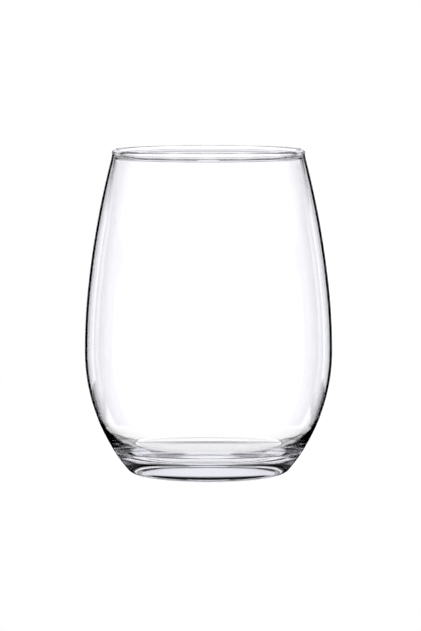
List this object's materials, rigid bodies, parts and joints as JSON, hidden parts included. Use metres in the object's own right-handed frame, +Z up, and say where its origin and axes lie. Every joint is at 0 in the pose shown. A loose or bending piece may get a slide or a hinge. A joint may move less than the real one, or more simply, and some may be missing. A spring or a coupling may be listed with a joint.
{
  "type": "stemless wine glass",
  "caption": "Clear stemless wine glass: egg-shaped bowl that narrows to a thin beaded rim and stands on a thick rounded heel; holds wine or water.",
  "frame": {"origin": "centre of the base, on the plane of the table that the glass stands on", "axes": "+Z up along the axis of the glass; the glass is round, so X and Y are free"},
  "size_m": [0.092, 0.092, 0.12],
  "materials": {
    "clear_glass": "clear, fire-polished soda-lime glass"
  },
  "bodies": {
    "root": {"glass": "clear_glass"}
  },
  "joints": []
}
